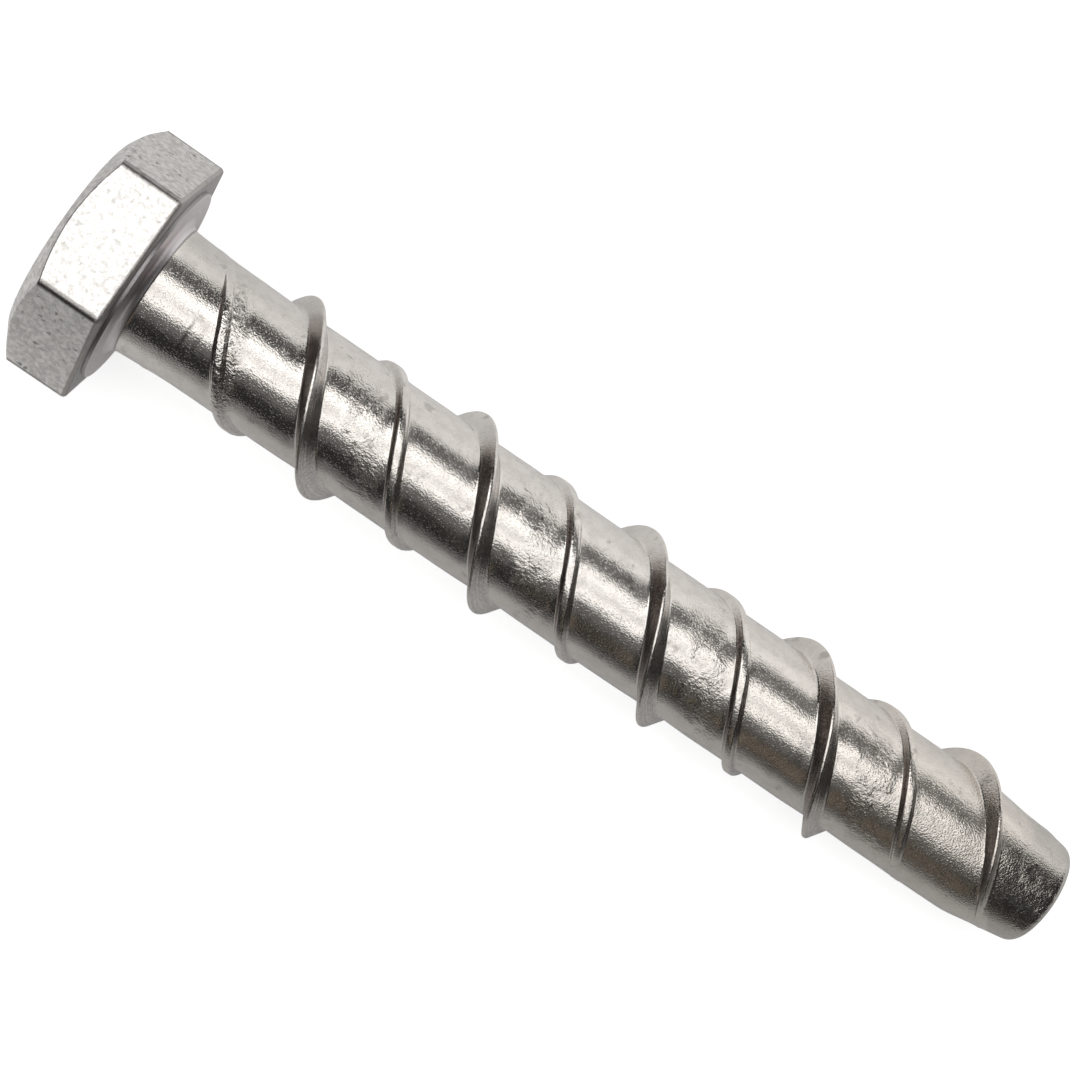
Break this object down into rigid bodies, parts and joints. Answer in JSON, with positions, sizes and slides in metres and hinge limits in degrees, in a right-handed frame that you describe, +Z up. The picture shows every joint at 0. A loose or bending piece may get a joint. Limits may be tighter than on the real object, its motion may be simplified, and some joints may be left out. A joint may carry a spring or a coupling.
{
  "type": "concrete screw",
  "caption": "Hexagon-head concrete screw in bright zinc-plated steel: washer face, short neck, high and low right-hand cutting ridges and a blunt tapered nose.",
  "frame": {"origin": "bottom centre of the screw's box as it lies at rest on a flat surface", "axes": "+X along the length towards the nose, head towards -X; +Z up; Y across the corners of the head. The screw's own axis dips about 2.2 degrees towards the nose."},
  "size_m": [0.0814, 0.019, 0.0168],
  "materials": {
    "zinc_plated_steel": "bright zinc plating, glossy on the core, satin and speckled on the flats of the head"
  },
  "bodies": {
    "root": {"screw": "zinc_plated_steel"}
  },
  "joints": []
}
